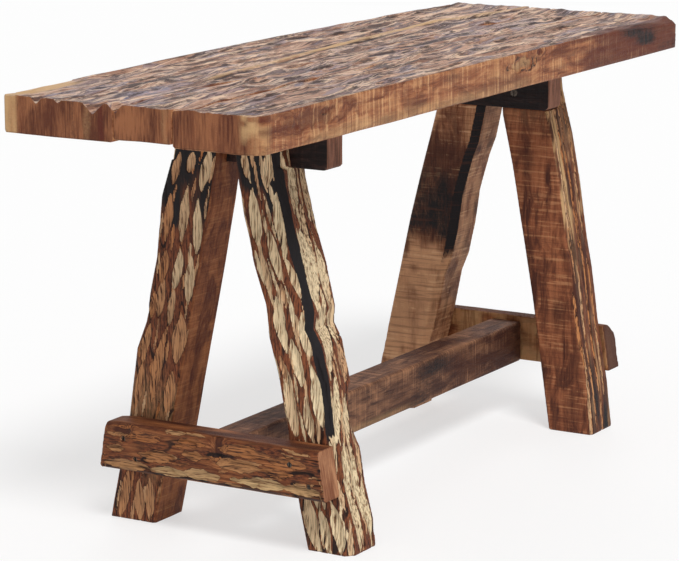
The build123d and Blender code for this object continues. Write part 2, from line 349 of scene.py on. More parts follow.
class WoodRecipe(Recipe):
    """Layers of log wood, from its fibres up to the gouge strokes."""

    RELIEF = 1.1  # height of the roughness, in mm

    def __init__(self, finish: TimberFinish) -> None:
        """Lay the noises along the grain, then every layer.

        Args:
            finish: Colours and gloss of the wood.
        """
        super().__init__(finish.name)
        self.finish = finish
        self.place = self.node("Attribute", {}, attribute_name=GRAIN).outputs["Vector"]
        self.fibre = self.noise(self.place, (0.016, 0.26, 0.26), 9.0, 0.5)
        self.thread = self.noise(self.place, (0.045, 1.1, 1.1), 4.0, 0.3)
        self.cloud = self.noise(self.place, (0.02, 0.06, 0.06), 8.0, 0.8)
        self.grit = self.noise(self.place, (0.14, 0.5, 0.5), 6.0)
        self.fleck = self.noise(self.place, (0.05, 0.7, 0.7), 6.0, 0.5)
        self.kerf = self.noise(self.place, (finish.kerf_pitch, 0.012, 0.012), 4.0, 0.15)
        self.wood = self.ramp(self.fibre, (0.42, finish.shade), (0.5, finish.body), (0.58, finish.light))
        for layer in (self.sawn, self.hewn, self.end_grain, self.skin, self.saw_lines, self.strokes):
            layer()
        self.feed(self.shader, {
            "Base Color": self.wood, "Roughness": finish.roughness, "Specular IOR Level": finish.gloss})
        self.bump(self.height(), 1.0, self.RELIEF)

    def height(self) -> Socket:
        """Add up the roughness of the wood.

        Returns:
            Socket with the height of its fibres, saw lines, flecks in the strokes, and grit.
        """
        return self.plus(
            self.fibre, self.times(self.thread, 0.5), self.times(self.kerf, self.stain(Stain.SAWN), 0.8),
            self.times(self.fleck, self.stain(Stain.CUT), 0.9), self.times(self.grit, 0.6))

    def lay(self, over: Socket | Colour, *shares: Socket | float) -> None:
        """Lay a colour over the wood, as far as the product of some shares says."""
        self.wood = self.mix(self.wood, over, self.times(*shares))

    def sawn(self) -> None:
        """Calm the fibres where the saw ran."""
        tones, sawn = self.finish, self.stain(Stain.SAWN)
        rough = self.step(sawn, 1.4, 0.0)
        self.lay(tones.shade, self.step(self.thread, 0.54, 0.62), 0.8, rough)
        self.lay(tones.light, self.step(self.thread, 0.44, 0.38), 0.5, rough)
        calm = self.ramp(self.cloud, (0.4, tones.shade), (0.5, tones.body), (0.6, tones.light))
        self.lay(calm, sawn, 0.72)

    def hewn(self) -> None:
        """Give each scoop of the seat its own tone, with torn dark and pale flakes over it, blue-grey
        painted sheen, and thin lines of painted highlight and painted shade along the grain.
        """
        flake = self.noise(self.place, (0.009, 0.09, 0.09), 9.0, 0.7)
        chip = self.noise(self.place, (0.045, 0.2, 0.2), 6.0, 0.3)
        # noise of the painted sheen, which pushes the scoops towards their blue-grey tones
        sheen = self.noise(self.place, (0.009, 0.035, 0.035), 4.0, 0.8)
        ripple = self.noise(self.place, (0.006, 0.06, 0.06), 6.0, 0.6)
        tone = self.plus(self.times(self.stain(Stain.TONE), 0.6), self.times(sheen, 0.5))
        scoops = self.ramp(tone, *self.finish.scoop_tones_and_sheen)
        for colour, value, low, high, strength in (
                # blue-grey painted sheen
                ((118, 122, 144), sheen, 0.55, 0.61, 0.55),
                ((48, 32, 36), flake, 0.455, 0.41, 0.92),
                ((240, 208, 178), flake, 0.56, 0.61, 0.85),
                # thin lines of painted highlight along the grain, as on lit crests
                ((234, 204, 180), self.away(ripple, 0.55), 0.026, 0.0, 0.75),
                # thin lines of painted shade along the grain, as under the crests
                ((40, 28, 32), self.away(ripple, 0.49), 0.024, 0.0, 0.92),
                ((46, 32, 34), chip, 0.44, 0.38, 0.6),
                ((232, 202, 176), chip, 0.58, 0.64, 0.5)):
            scoops = self.mix(scoops, colour, self.times(self.step(value, low, high), strength))
        self.lay(scoops, self.stain(Stain.HEWN), 0.92)

    def end_grain(self) -> None:
        """Broad upright bands and fine lines on the sawn ends."""
        broad = self.noise(self.place, (0.003, 0.04, 0.014), 3.0, 0.6)
        fine = self.noise(self.place, (0.003, 0.5, 0.035), 5.0)
        both = self.plus(self.times(broad, 0.55), self.times(fine, 0.45))
        end = self.ramp(both, (0.42, self.finish.end_shade), (0.58, self.finish.end_light))
        self.lay(end, self.stain(Stain.END))

    def skin(self) -> None:
        """Old dark skin, then sapwood and painted light, heartwood, burnt patches, and cracks and painted
        shade, with torn borders.
        """
        tones = self.finish
        torn = self.plus(self.times(self.thread, 0.5), self.times(self.grit, 0.5))
        hide = self.ramp(torn, (0.42, tones.crease), (0.48, tones.hide), (0.58, tones.hide_light))
        self.lay(hide, self.stain(Stain.HIDE), 0.9)
        for stain, colour, border, raggedness, low, high, strength in (
                (Stain.SAP, tones.sap, torn, 0.5, 0.35, 1.0, 0.85),
                (Stain.DEEP, tones.deep, torn, 0.6, 0.42, 0.95, 0.85),
                (Stain.CHAR, tones.char, self.grit, 0.6, 0.55, 0.95, 1.0),
                (Stain.CREASE, tones.crease, self.thread, 0.4, 0.5, 0.85, 0.9)):
            value = self.plus(self.stain(stain), self.times(border, raggedness))
            self.lay(colour, self.step(value, low, high), strength)

    def saw_lines(self) -> None:
        """Draw the saw's light and dark lines, fainter on heartwood and burnt skin."""
        sawn, strength = self.stain(Stain.SAWN), self.finish.kerf_strength
        light = self.times(self.step(self.kerf, 0.55, 0.61), self.step(self.cloud, 0.4, 0.56), sawn)
        sound = self.times(
            self.step(self.stain(Stain.DEEP), 1.2, 0.1), self.step(self.stain(Stain.CHAR), 0.6, 0.1))
        self.lay(self.finish.kerf, light, sound, strength)
        self.lay(self.finish.shade, self.step(self.kerf, 0.45, 0.4), sawn, 0.6 * strength)

    def strokes(self) -> None:
        """Lay the wood bare in the gouge strokes, with a dark edge of torn fibres and painted shade at the
        rim of the hollow.
        """
        tones, fleck, cut = self.finish, self.fleck, self.stain(Stain.CUT)
        dim = tuple(0.8 * c for c in tones.cut)
        pale = self.ramp(fleck, (0.34, tones.crease), (0.4, tones.fleck), (0.46, dim), (0.54, tones.cut))
        old = self.ramp(fleck, (0.35, tones.crease), (0.42, tones.hide), (0.52, tones.warm))
        bare = self.mix(old, pale, self.stain(Stain.FRESH))
        # dark rim round each stroke: painted shade at the edge of the hollow as well as torn fibres
        self.lay(tones.crease, self.step(cut, 0.02, 0.14), 0.7)
        self.lay(bare, self.step(self.plus(cut, self.times(self.grit, 0.3)), 0.29, 0.37))


@dataclass(frozen=True)
class FixingFinish:
    """Two tones of a fixing in patches or fibres.

    Attributes:
        name: Name of the material.
        dark: Darker tone.
        light: Lighter tone.
        stretch: Swells in one metre along each axis.
        detail: How many finer layers the patches have.
        roughness: Roughness of the surface.
        metallic: 1 for metal, 0 for wood.
        relief: Strength of the bump, and its height in mm.
    """

    name: str
    dark: Colour
    light: Colour
    stretch: tuple[float, float, float]
    detail: float
    roughness: float
    metallic: float
    relief: Span

    def material(self) -> bpy.types.Material:
        """Build the material.

        Returns:
            The material of the fixing.
        """
        recipe = Recipe(self.name)
        place = recipe.node("TexCoord", {}).outputs["Object"]
        patch = recipe.noise(place, self.stretch, self.detail)
        tone = recipe.ramp(patch, (0.35, self.dark), (0.65, self.light))
        recipe.feed(recipe.shader, {
            "Base Color": tone, "Roughness": self.roughness, "Metallic": self.metallic})
        recipe.bump(patch, *self.relief)
        return recipe.material


HARDWOOD = FixingFinish(
    "turned_hardwood", (128, 84, 52), (186, 140, 96), (260.0, 90.0, 90.0), 5.0, 0.6, 0.0, (0.4, 0.3))
STEEL = FixingFinish(
    "dull_steel", (58, 50, 46), (112, 104, 96), (700.0, 700.0, 700.0), 4.0, 0.45, 1.0, (0.3, 0.1))


# ------------------------------------------------------------------------------ tool marks
@dataclass(frozen=True)
class Stroke:
    """One gouge stroke: a shallow hollow, pointed at both ends.

    Attributes:
        along: Middle of the stroke along the timber.
        across: Middle of the stroke across the face.
        length: Length from tip to tip.
        width: Widest part.
        fresh: 1 for pale new wood, 0 for orange older wood.
        slant: Drift across the face for each millimetre along it.
        depth: Deepest part.
    """

    along: float
    across: float
    length: float
    width: float
    fresh: float = 1.0
    slant: float = 0.0
    depth: float = 3.0

    def spot(self, along: Field, across: Field) -> tuple[Field, Field]:
        """Places in the stroke: -1 to 1 from tip to tip, and -1 to 1 across its widest part."""
        ahead = along - self.along
        return 2.0 * ahead / self.length, 2.0 * (across - self.across - self.slant * ahead) / self.width

    def shape(self, along: Field, across: Field) -> Field:
        """Hollow at some places, as a share of the stroke's depth.

        Args:
            along: Place along the timber.
            across: Place across the face.

        Returns:
            The share at each place, 0 outside the stroke.
        """
        run, drift = self.spot(along, across)
        belly = np.clip(1.0 - run * run, 0.0, None)
        inside = np.clip(1.0 - (drift / np.maximum(belly, 0.01)) ** 2, 0.0, None)
        return np.sqrt(belly) * inside


@dataclass(frozen=True)
class Scoop(Stroke):
    """A longer stroke of a round gouge, rounded at both ends."""

    def shape(self, along: Field, across: Field) -> Field:
        """Hollow at some places as a share of the scoop's depth, 0 outside it."""
        run, drift = self.spot(along, across)
        return np.clip(1.0 - run * run - drift * drift, 0.0, None)


@dataclass(frozen=True)
class Notch:
    """A V worn into the left end of the top, fading along the plank.

    Attributes:
        across: Place of the V along the end.
        depth: Depth at the end.
        width: Width at the end.
        reach: How far it runs in from the end.
    """

    across: float
    depth: float
    width: float
    reach: float = 90.0

    def hollow(self, inward: Field, across: Field) -> Field:
        """Depth of the notch.

        Args:
            inward: Distance in from the end of the plank.
            across: Place across the plank.

        Returns:
            Depth at each place.
        """
        fade = np.clip(1.0 - inward / self.reach, 0.0, 1.0)
        flank = np.clip(1.0 - np.abs(across - self.across) * 2.0 / self.width, 0.0, 1.0)
        return self.depth * fade * flank


@dataclass(frozen=True)
class Knot:
    """A knot on a long side.

    Attributes:
        along: Place along the timber.
        across: Place across the side.
        length: Size along the timber.
        height: Size across the side.
        golden: Share of pale wood in its middle.
        dark: How dark its rim is.
    """

    along: float
    across: float
    length: float
    height: float
    golden: float = 0.0
    dark: float = 0.8

    def reach(self, along: Field, across: Field) -> Field:
        """Distance from the middle of the knot, 1 at its rim."""
        run, rise = 2.0 * (along - self.along) / self.length, 2.0 * (across - self.across) / self.height
        return np.hypot(run, rise)


@dataclass(frozen=True)
class Band:
    """A coloured band in the end grain.

    Attributes:
        middle: Middle of the band across the end.
        width: Width at half strength.
        stain: Stain of the band.
        share: Greatest strength.
    """

    FALL = 2.77  # leaves half the strength at half the width

    middle: float
    width: float
    stain: Stain
    share: float

    def strength(self, across: Field) -> Field:
        """Strength of the band at each place across the end."""
        return self.share * np.exp(-self.FALL * ((across - self.middle) / self.width) ** 2)


@dataclass(frozen=True)
class Trim:
    """How far a face is cut back along one of its arrises.

    Attributes:
        heights: Places along the timber.
        cuts: Depth at each place; wood stands proud where it is negative.
        reach: How far the cut runs in from the arris.
    """

    heights: tuple[float, ...]
    cuts: tuple[float, ...]
    reach: float = 16.0


@dataclass(frozen=True)
class Spread:
    """How random strokes are laid over a face.

    Attributes:
        pitch_along: Distance between strokes along the timber.
        pitch_across: Distance between rows.
        length: Shortest and longest stroke.
        width: Narrowest and widest stroke.
        depth: Shallowest and deepest stroke.
        slant: Greatest slant either way.
        fresh: Least and greatest freshness.
        round_ends: True for scoops, False for pointed strokes.
    """

    JITTER = 0.35  # greatest shift of a stroke, as a share of the pitch

    pitch_along: float
    pitch_across: float
    length: Span
    width: Span
    depth: Span
    slant: float = 0.04
    fresh: Span = (1.0, 1.0)
    round_ends: bool = False

    def strokes(self, seed: int, along: Span, across: Span) -> list[Stroke]:
        """Lay the strokes.

        Args:
            seed: The same seed gives the same strokes.
            along: First and last place along the timber.
            across: First and last place across the face.

        Returns:
            The strokes, in staggered rows.
        """
        rng = np.random.default_rng(seed)
        kind = Scoop if self.round_ends else Stroke
        laid = []
        for row, middle in enumerate(np.arange(across[0], across[1] + self.pitch_across, self.pitch_across)):
            start = along[0] + (row % 2) * self.pitch_along / 2
            for place in np.arange(start, along[1] + self.pitch_along, self.pitch_along):
                jitter = rng.uniform(-self.JITTER, self.JITTER, 2)
                laid.append(kind(
                    place + jitter[0] * self.pitch_along, middle + jitter[1] * self.pitch_across,
                    rng.uniform(*self.length), rng.uniform(*self.width), rng.uniform(*self.fresh),
                    rng.uniform(-self.slant, self.slant), rng.uniform(*self.depth)))
        return laid


# ------------------------------------------------------------------------------ timbers
class Timber:
    """Fine mesh of one CAD timber, which takes strokes and stains."""

    SLICE = 4.0  # length of the slices in which a timber's sides are found
    LOG_SIZE = 700.0  # the grain of a timber starts at a random place in a block of this size
    TRIM_SKIN = 22.0  # thickness of the wood that moves when an arris is cut back

    def __init__(self, node: str, grain: Grain, fineness: float, seed: int) -> None:
        """Mesh the timber again, finely and evenly.

        Args:
            node: Name of the CAD node.
            grain: Axis of the fibres.
            fineness: Distance between vertices.
            seed: Seed of the timber's noise.
        """
        self.node = node
        self.grain = grain.value
        self.mesh = self._fine_mesh(fineness)
        flat = np.empty(len(self.mesh.vertices) * 3, np.float32)
        self.mesh.vertices.foreach_get("co", flat)
        self.home: Field = flat.reshape(-1, 3).astype(float) / MM
        self.mesh.vertex_normals.foreach_get("vector", flat)
        self.normals: Field = flat.reshape(-1, 3).astype(float)
        self.points = self.home.copy()
        self.noise = WoodNoise(seed)
        self.stains = {stain: np.zeros(len(self.home)) for stain in Stain}
        self.swirl = np.zeros(len(self.home))
        self.offset = self.LOG_SIZE * np.random.default_rng(seed).uniform(size=3)

    def _fine_mesh(self, fineness: float) -> bpy.types.Mesh:
        """Voxel mesh of the node.

        Args:
            fineness: Distance between vertices.

        Returns:
            A new mesh without materials.
        """
        blank = new_object("blank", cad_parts[self.node].data.copy())
        remesh = blank.modifiers.new("Fine", "REMESH")
        remesh.mode = "VOXEL"
        remesh.voxel_size = fineness * MM
        graph = bpy.context.evaluated_depsgraph_get()
        mesh = bpy.data.meshes.new_from_object(blank.evaluated_get(graph))
        bpy.data.objects.remove(blank)
        mesh.materials.clear()
        return mesh

    @property
    def along(self) -> Field:
        """Place of each vertex along the fibres."""
        return self.home[:, self.grain]

    def side(self, face: Face) -> Field:
        """Where a side stands beside each vertex.

        Args:
            face: The side.

        Returns:
            Its place along the axis that it faces.
        """
        outward = face.sign * self.home[:, face.axis]
        if face.axis == self.grain:
            return np.full(len(outward), face.sign * outward.max())
        slot = ((self.along - self.along.min()) / self.SLICE).astype(int)
        outermost = np.full(slot.max() + 1, -np.inf)
        np.maximum.at(outermost, slot, outward)
        middles = self.along.min() + (np.arange(len(outermost)) + 0.5) * self.SLICE
        return face.sign * np.interp(self.along, middles, outermost)

    def below(self, face: Face) -> Field:
        """How deep each vertex lies below a side."""
        return face.sign * (self.side(face) - self.home[:, face.axis])

    def across(self, face: Face) -> Field:
        """Place of each vertex across a face.

        Args:
            face: The face.

        Returns:
            Distance of each vertex from the middle of the timber.
        """
        axis = 3 - face.axis - self.grain
        pair = [other for other in Face if other.axis == axis]
        return self.home[:, axis] - (self.side(pair[0]) + self.side(pair[1])) / 2

    def facing(self, face: Face, low: float = 0.4, high: float = 0.8) -> Field:
        """How much each vertex belongs to a face, from 0 to 1."""
        return ease(low, high, face.sign * self.normals[:, face.axis])

    def facing_any(self, *faces: Face) -> Field:
        """How much each vertex belongs to any of some faces."""
        return np.maximum.reduce([self.facing(face) for face in faces])

    def leaning(self, low: float, high: float) -> Field:
        """How much each vertex belongs to the bevel between the left and front sides."""
        return ease(low, high, np.minimum(-self.normals[:, 0], -self.normals[:, 1]))

    def swell(self, *cell: float, shift: float = 0.0) -> Field:
        """Noise at each vertex, for swells as large as a cell, read from a shifted place."""
        return self.noise.at(self.home + shift, cell)

    def press(self, face: Face, depth: Field | float, skin: float = 12.0) -> None:
        """Press a face in; the skin of wood below it is squeezed, so its arrises follow."""
        share = np.clip(1.0 - self.below(face) / skin, 0.0, 1.0)
        self.points[:, face.axis] -= face.sign * depth * share

    def trim(self, face: Face, arris: Face, cut: Trim) -> None:
        """Cut a face back along the arris that it shares with another side."""
        near = ease(cut.reach, 0.0, self.below(arris))
        self.press(face, np.interp(self.along, cut.heights, cut.cuts) * near, self.TRIM_SKIN)

    def stain(self, stain: Stain, *shares: Field) -> None:
        """Paint a stain, keeping the strongest of some shares and of what is already painted."""
        for share in shares:
            self.stains[stain] = np.maximum(self.stains[stain], np.clip(share, 0.0, 1.0))

    def carve(self, face: Face, strokes: Iterable[Stroke], ragged: float = 1.1) -> None:
        """Cut strokes into a face and show the bare wood in them.

        Args:
            face: The face.
            strokes: The strokes, placed along the timber and across the face.
            ragged: How far the borders of the strokes wander.
        """
        along = self.along + 4.0 * ragged * self.swell(9, 9, 14)
        across = self.across(face) + ragged * self.swell(7, 7, 9, shift=50.0)
        across += 0.6 * ragged * self.swell(3, 3, 5, shift=90.0)
        facing = self.facing(face)
        depth = np.zeros(len(along))
        for stroke in strokes:
            shape = stroke.shape(along, across)
            deeper = (stroke.depth * shape > depth) & (facing > 0.01)
            self.stains[Stain.FRESH] = np.where(deeper, stroke.fresh, self.stains[Stain.FRESH])
            self.stain(Stain.CUT, shape * facing)
            depth = np.maximum(depth, stroke.depth * shape)
        self.press(face, depth)

    def roughen(self, faces: Iterable[Face], height: float, cell: Sequence[float]) -> None:
        """Give faces a gentle uneven surface.

        Args:
            faces: The faces.
            height: Greatest depth.
            cell: Size of one swell along each axis.
        """
        for face in faces:
            share = 0.5 + 0.5 * self.swell(*cell, shift=31.0 * (face.axis + 1))
            self.press(face, height * share)

    def crack(self, face: Face, cell: Sequence[float], depth: float, share: float = 0.9) -> None:
        """Open thin creases in a face, where a swell passes through its middle.

        Args:
            face: The face.
            cell: Size of one swell along each axis.
            depth: Depth of the creases.
            share: How dark they are.
        """
        line = 1.0 - ease(0.0, 0.16, np.abs(self.swell(*cell, shift=77.0)))
        broken = self.swell(*(3.0 * c for c in cell), shift=13.0)
        line *= ease(-0.4, 0.3, broken) * self.facing(face)
        self.press(face, depth * line)
        self.stain(Stain.CREASE, share * line)

    def knot(self, face: Face, knot: Knot) -> None:
        """Set a knot into a side.

        Args:
            face: The side that shows it.
            knot: The knot.
        """
        reach = knot.reach(self.along, self.across(face)) + 0.3 * self.swell(6, 6, 6)
        facing = self.facing(face)
        side = ease(-0.2, 0.6, self.swell(22, 22, 12, shift=19.0))
        rim = 1.0 - ease(0.03, 0.16, np.abs(reach - 0.95))
        specks = ease(0.1, 0.4, self.swell(4, 4, 3)) * (1.0 - ease(0.7, 0.95, reach))
        self.stain(Stain.CREASE, rim * facing * knot.dark * side, specks * facing * knot.golden * 0.8)
        self.stain(Stain.DEEP, (1.0 - ease(0.5, 1.3, reach)) * facing * (1.0 - knot.golden) * 0.8)
        self.stain(Stain.SAP, (1.0 - ease(0.5, 0.9, reach)) * facing * knot.golden)
        self.swirl += 12.0 * np.exp(-0.8 * reach * reach) * facing
        self.press(face, (1.0 - ease(0.6, 1.0, reach)) * facing)

    def end_bands(self, face: Face, bands: Iterable[Band]) -> None:
        """Colour the end grain in bands.

        Args:
            face: The end.
            bands: The bands, placed in the bench's own frame.
        """
        facing = self.facing(face)
        wander = self.home[:, 1] + 2.5 * self.swell(8, 8, 16)
        for band in bands:
            self.stain(band.stain, band.strength(wander) * facing)

    def done(self, finish: TimberFinish) -> None:
        """Write the worked mesh and set it in place of its CAD node.

        Args:
            finish: Finish of the timber.
        """
        self.mesh.vertices.foreach_set("co", (self.points * MM).astype(np.float32).ravel())
        for stain, share in self.stains.items():
            painted = self.mesh.attributes.new(stain.value, "FLOAT", "POINT")
            painted.data.foreach_set("value", share.astype(np.float32))
        order = [self.grain] + [axis for axis in range(3) if axis != self.grain]
        place = self.home[:, order] + self.offset
        place[:, 1:] += self.swirl[:, None]
        painted = self.mesh.attributes.new(GRAIN, "FLOAT_VECTOR", "POINT")
        painted.data.foreach_set("vector", place.astype(np.float32).ravel())
        self.mesh.shade_smooth()
        self.mesh.update()
        piece = new_object(f"{self.node}_dressed", self.mesh)
        self.mesh.materials.append(finish.material())
        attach(piece, ROOT)
        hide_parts(self.node)
        LOG.info("%s: %d vertices", piece.name, len(self.mesh.vertices))


# ------------------------------------------------------------------------------ the top
@dataclass
class HewnTop:
    """Three planks hewn along their length with a round gouge."""

    fineness: float = 1.8
    scoops: Spread = Spread(62.0, 9.0, (60.0, 180.0), (13.0, 30.0), (2.0, 5.6), 0.07, round_ends=True)
    notches: tuple[Notch, ...] = (
        Notch(102.0, 7.5, 15.0), Notch(77.0, 5.0, 12.0), Notch(38.0, 12.5, 27.0, 130.0),
        Notch(13.0, 9.5, 18.0))
    # the pale line over the top: places along the planks, and how far back it lies there
    streak_run: tuple[float, ...] = (-253.0, 28.0, 269.0, 431.0)
    streak_back: tuple[float, ...] = (30.0, 54.0, 69.0, 46.0)
    groove_depth: float = 3.6
    crown: float = 1.2  # how much lower the ends are than the middle
    hewn_skin: float = 16.0  # thickness of the wood that moves when the top is hewn
    tone_seed: int = 5
    overlap: float = 6.0  # how far the rows of scoops run over the sides of a plank
    wall_step: float = 1.5  # distance over which the slope of a scoop is taken
    end_fade: float = 26.0
    edge_fade: float = 12.0
    underside_ease: float = 3.0
    end_bands: tuple[Band, ...] = (
        Band(139.0, 20.0, Stain.SAP, 0.7), Band(119.0, 10.0, Stain.DEEP, 0.3),
        Band(88.0, 34.0, Stain.DEEP, 0.25), Band(60.0, 9.0, Stain.CHAR, 0.36),
        Band(44.0, 10.0, Stain.SAP, 0.3), Band(30.0, 8.0, Stain.DEEP, 0.6),
        Band(-42.0, 8.0, Stain.SAP, 0.3), Band(-72.0, 10.0, Stain.DEEP, 0.3),
        Band(-104.0, 36.0, Stain.DEEP, 0.3), Band(-127.0, 3.0, Stain.CREASE, 0.4),
        Band(-141.0, 20.0, Stain.SAP, 0.35))
    front_knots: tuple[Knot, ...] = (
        Knot(-336.0, 10.0, 22.0, 9.0), Knot(-356.0, 5.0, 96.0, 26.0, 0.35, 0.5),
        Knot(62.0, 7.0, 66.0, 18.0, 0.6, 1.0), Knot(101.0, 14.0, 16.0, 8.0))
    wane: Span = (210.0, 270.0)  # where the bark starts along the front edge, and where it is full
    finish: TimberFinish = TimberFinish(
        "hewn_seat", (108, 57, 36), (166, 102, 66), (202, 144, 98), deep=(92, 38, 27), crease=(48, 28, 25),
        roughness=0.5, gloss=0.2, kerf=(224, 176, 128), kerf_pitch=0.34,
        end_shade=(94, 50, 32), end_light=(156, 100, 66))

    def hewn_depth(self, plank: Timber) -> Field:
        """Depth of the tool marks under the high points of the top; stains their tones too, with painted
        sheen on the scoop walls facing the rear and painted shade on those facing the front.

        Args:
            plank: The plank.

        Returns:
            Depth at each vertex.
        """
        x, y = plank.home[:, 0], plank.home[:, 1]
        wander = y + 2.5 * plank.swell(34, 16, 20) + 0.8 * plank.swell(12, 6, 9)
        lowest, highest = plank.home.min(axis=0), plank.home.max(axis=0)
        across = (lowest[1] - self.overlap, highest[1] + self.overlap)
        rng = np.random.default_rng(self.tone_seed)
        depth, nearer, further = np.zeros(len(x)), np.zeros(len(x)), np.zeros(len(x))
        tone = np.full(len(x), 0.5)
        for scoop in self.scoops.strokes(len(plank.node), (lowest[0], highest[0]), across):
            hollow = scoop.depth * scoop.shape(x, wander)
            tone = np.where(hollow > depth, rng.uniform(), tone)
            depth = np.maximum(depth, hollow)
            nearer = np.maximum(nearer, scoop.depth * scoop.shape(x, wander - self.wall_step))
            further = np.maximum(further, scoop.depth * scoop.shape(x, wander + self.wall_step))
        slope = (nearer - further) / (2.0 * self.wall_step)
        shaded_wall = ease(0.2, 0.5, slope) * ease(-0.5, 0.1, plank.swell(30, 9, 20, shift=61.0))
        at_end = 0.35 + 0.65 * ease(0.0, self.end_fade, HALF_LENGTH - np.abs(x))
        at_edge = 0.1 + 0.9 * ease(0.0, self.edge_fade, np.minimum(REAR_EDGE - y, y - FRONT_EDGE))
        depth *= at_end * at_edge
        for notch in self.notches:
            depth = np.maximum(depth, notch.hollow(x - lowest[0], y))
        # painted sheen: the tone rises towards the blue-grey stops where a scoop wall faces the rear
        plank.stain(Stain.TONE, 0.7 * tone + 0.45 * ease(0.05, 0.5, -slope))
        # painted shade: darkens the scoop walls that face the front
        plank.stain(Stain.CREASE, 0.6 * shaded_wall * plank.facing(Face.TOP, 0.2, 0.5))
        return self.streak(plank, depth) + self.crown * (x / HALF_LENGTH) ** 2

    def streak(self, plank: Timber, depth: Field) -> Field:
        """Leave a pale rib across the top, with a groove beside it darkened by painted shade.

        Args:
            plank: The plank.
            depth: Depth of the tool marks.

        Returns:
            Depth with the rib and the groove.
        """
        x, y = plank.home[:, 0], plank.home[:, 1]
        beside = y - np.interp(x, self.streak_run, self.streak_back)
        on_run = ease(self.streak_run[0] - 30, self.streak_run[0], x)
        groove = np.clip(1.0 - np.abs(beside + 3.0) / 2.8, 0.0, 1.0) * on_run
        rib = (1.0 - ease(1.5, 6.0, np.abs(beside - 2.5))) * on_run
        bright = 0.45 + 0.55 * np.maximum(bell(15, 50, x), bell(225, 60, x))
        plank.stain(Stain.SAP, rib * bright * 1.2)
        # painted shade in the groove beside the rib
        plank.stain(Stain.CREASE, 0.8 * groove)
        return np.maximum(depth * (1.0 - 0.75 * rib), self.groove_depth * groove)

    def hew(self, plank: Timber) -> None:
        """Hew the top face and stain it.

        Args:
            plank: The plank.
        """
        depth = self.hewn_depth(plank)
        top = plank.facing(Face.TOP, 0.3, 0.7)
        plank.press(Face.TOP, depth, self.hewn_skin)
        streaks = plank.swell(60, 5, 20)
        plank.stain(Stain.HEWN, top)
        # paler on the crests between the scoops: rubbed wood with a painted highlight
        plank.stain(Stain.SAP, (1.0 - ease(0.8, 2.4, depth)) * ease(-0.2, 0.6, streaks) * top * 0.6)
        plank.stain(Stain.SAWN, plank.facing_any(Face.REAR, Face.BOTTOM), 0.96 * plank.facing(Face.FRONT))
        for face in (Face.LEFT, Face.RIGHT):
            end = plank.facing(face, 0.5, 0.9)
            plank.stain(Stain.END, end)
            # darker along the bottom edge of each end
            plank.stain(Stain.CREASE, end * ease(3.5, 0.5, plank.below(Face.BOTTOM)) * 0.5)
            plank.end_bands(face, self.end_bands)
        plank.roughen((Face.FRONT, Face.BOTTOM), 0.7, (60, 25, 18))

    def rear(self) -> None:
        """Rear plank, pale along its rear edge at the left end."""
        plank = Timber("plank_rear", Grain.LENGTHWISE, self.fineness, 11)
        self.hew(plank)
        edge = ease(24.0, 4.0, plank.below(Face.REAR)) * ease(-260.0, -400.0, plank.along)
        plank.stain(Stain.SAP, edge * (0.7 + 0.5 * plank.swell(40, 6, 20)))
        plank.done(self.finish)

    def middle(self) -> None:
        """Middle plank, eased under its left end."""
        plank = Timber("plank_middle", Grain.LENGTHWISE, self.fineness, 12)
        self.hew(plank)
        plank.press(Face.BOTTOM, self.underside_ease * ease(-400.0, -440.0, plank.along))
        plank.done(self.finish)

    def front(self) -> None:
        """Front plank, with knots in its front face and bark left at the right end."""
        plank = Timber("plank_front", Grain.LENGTHWISE, self.fineness, 13)
        self.hew(plank)
        for knot in self.front_knots:
            plank.knot(Face.FRONT, knot)
        plank.crack(Face.FRONT, (130, 9, 5), 0.4, 0.4)
        x, front, inward = plank.along, plank.facing(Face.FRONT), plank.below(Face.FRONT)
        low, high = plank.below(Face.BOTTOM), plank.below(Face.TOP)
        patches, streaks = plank.swell(46, 20, 12), plank.swell(90, 9, 6)
        pale = ease(-220.0, -60.0, x) * ease(120.0, 20.0, x) * (0.12 + 0.25 * patches)
        foot = ease(-410.0, -340.0, x) * ease(160.0, 40.0, x) * ease(20.0, 5.0, low) * 0.42
        heart = 0.08 + 0.62 * ease(110.0, 290.0, x) + 0.26 * patches + 0.28 * streaks
        shadow = ease(170.0, 290.0, x) * ease(34.0, 8.0, low - 8.0 * patches)
        swirls = ease(-270.0, -330.0, x) * ease(28.0, 12.0, high) * ease(-0.2, 0.5, plank.swell(30, 10, 7))
        bark = ease(*self.wane, x)
        edge = bark * ease(20.0, 8.0, high) * ease(26.0, 14.0, inward)
        slant = bark * plank.facing(Face.FRONT, 0.1, 0.4)
        corner = ease(-424.0, -438.0, x) * ease(26.0, 12.0, inward)
        burnt = front * bell(360.0, 80.0, x)
        plank.stains[Stain.HEWN] *= 1.0 - 0.9 * slant
        plank.stain(Stain.SAP, front * pale, front * foot, corner * (0.34 + 0.35 * streaks))
        plank.stain(
            Stain.DEEP, front * heart, front * shadow * 0.7, front * swirls * 0.6,
            slant * (0.9 + 0.2 * patches), edge * (0.85 - 0.3 * patches))
        plank.stain(
            Stain.CHAR, front * shadow * (0.3 + 0.3 * patches), burnt * (0.4 + 0.5 * patches),
            slant * ease(24.0, 6.0, high) * (0.34 + 0.3 * patches), edge * (0.3 + 0.45 * patches))
        plank.done(self.finish)

    def build(self) -> None:
        """Make the three planks."""
        self.rear()
        self.middle()
        self.front()


